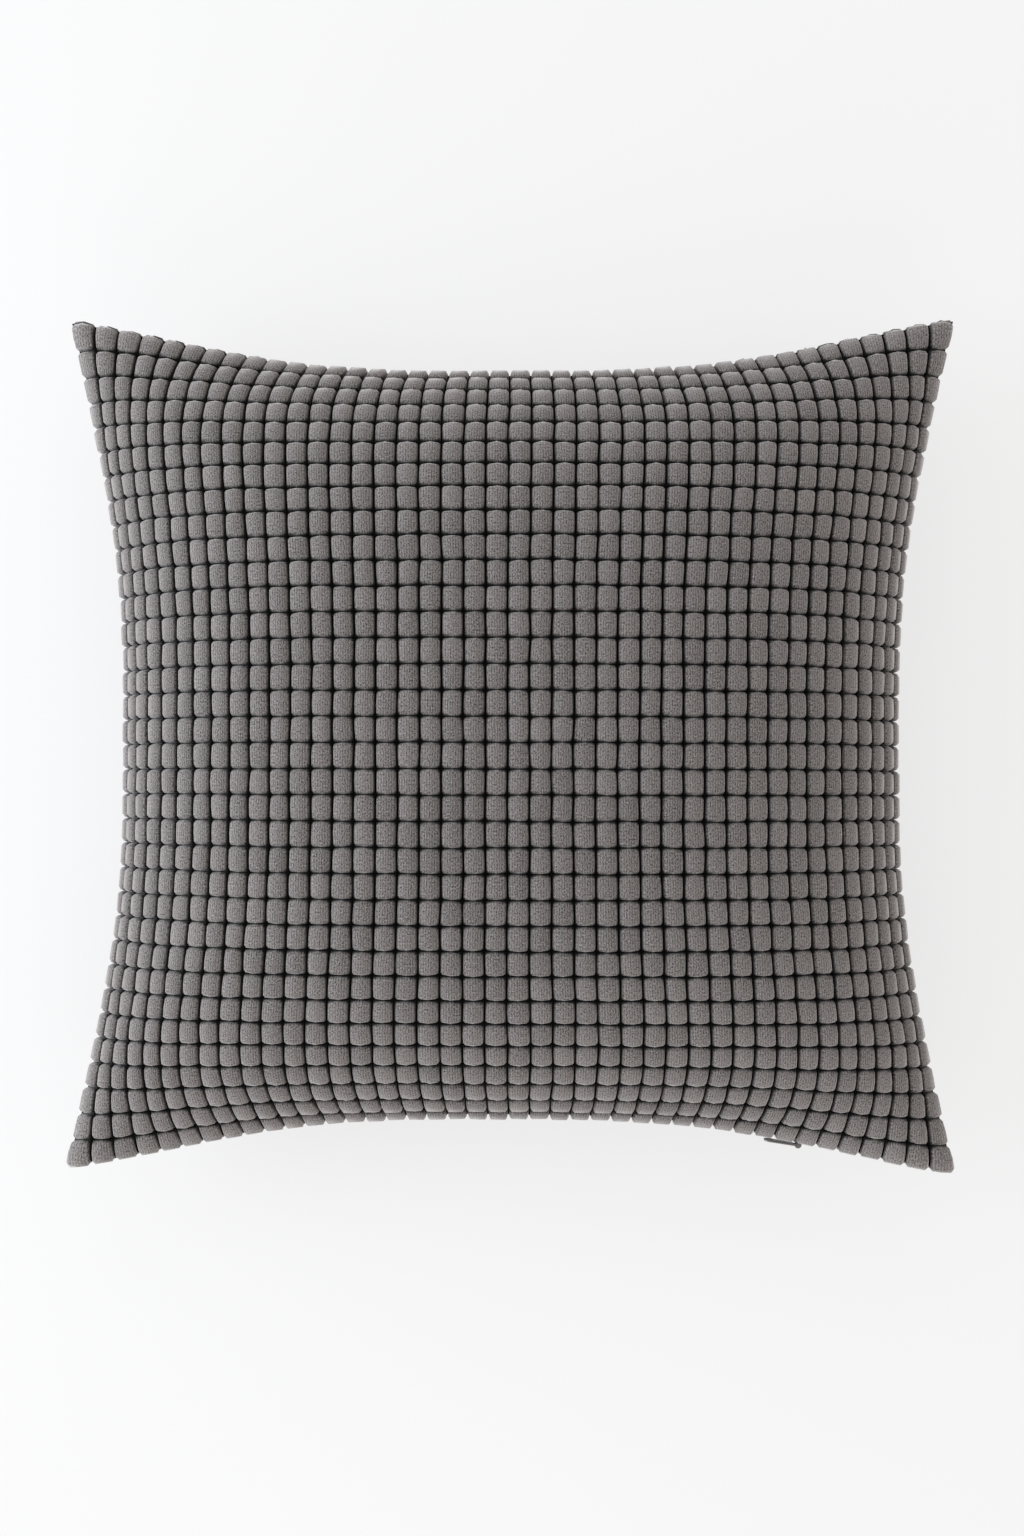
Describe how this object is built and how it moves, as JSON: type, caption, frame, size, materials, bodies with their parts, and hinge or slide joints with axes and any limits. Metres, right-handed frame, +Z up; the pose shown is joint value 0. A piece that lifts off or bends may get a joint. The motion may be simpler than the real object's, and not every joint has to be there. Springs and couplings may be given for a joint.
{
  "type": "throw pillow",
  "caption": "Square throw pillow with a block-textured corduroy cover, drawn-in sides and pointed corners, a concealed zip along one edge and a removable fibre-filled insert",
  "frame": {"origin": "middle of the pillow's outline, at the level of the surface that it lies on", "axes": "X across the pillow, Y from the zipped edge to the plain top edge, Z up through its thickness from the back panel to the front panel"},
  "size_m": [0.45, 0.436, 0.12],
  "materials": {
    "corduroy": "matt pile in small raised blocks",
    "grey_thread": "twisted polyester",
    "woven_tape": "herringbone weave",
    "nylon_coil": "satin",
    "stop_metal": "satin enamel",
    "slider_metal": "satin enamel",
    "label_satin": "satin, blank",
    "insert_cloth": "bonded polyester",
    "fibre_fill": "loose hollow fibre",
    "white_thread": "twisted polyester"
  },
  "bodies": {
    "pillow": {"cover_front": "corduroy", "cover_back": "corduroy", "seam_thread_top": "grey_thread", "seam_thread_left": "grey_thread", "seam_thread_right": "grey_thread", "seam_thread_lower_left": "grey_thread", "seam_thread_lower_right": "grey_thread", "zip_tape_front": "woven_tape", "zip_tape_back": "woven_tape", "zip_coil_front": "nylon_coil", "zip_coil_back": "nylon_coil", "zip_stitch_front": "grey_thread", "zip_stitch_back": "grey_thread", "zip_top_stops": "stop_metal", "zip_bottom_stop": "stop_metal", "care_label": "label_satin", "insert_front": "insert_cloth", "insert_back": "insert_cloth", "insert_fill": "fibre_fill", "insert_seam_thread": "white_thread", "insert_closing_stitch": "white_thread"},
    "slider": {"zip_slider": "slider_metal"},
    "pull": {"zip_pull": "slider_metal"}
  },
  "joints": [
    {"name": "zip_travel", "type": "hinge", "parent": "pillow", "child": "slider", "pos_m": [0, -1.14373, 0.054], "axis": [0, 0, 1], "range_deg": [0, 18.36]},
    {"name": "pull_swing", "type": "hinge", "parent": "slider", "child": "pull", "pos_m": [0.15113, -0.20905, 0.054], "axis": [0, 0, 1], "range_deg": [0, 180]}
  ]
}
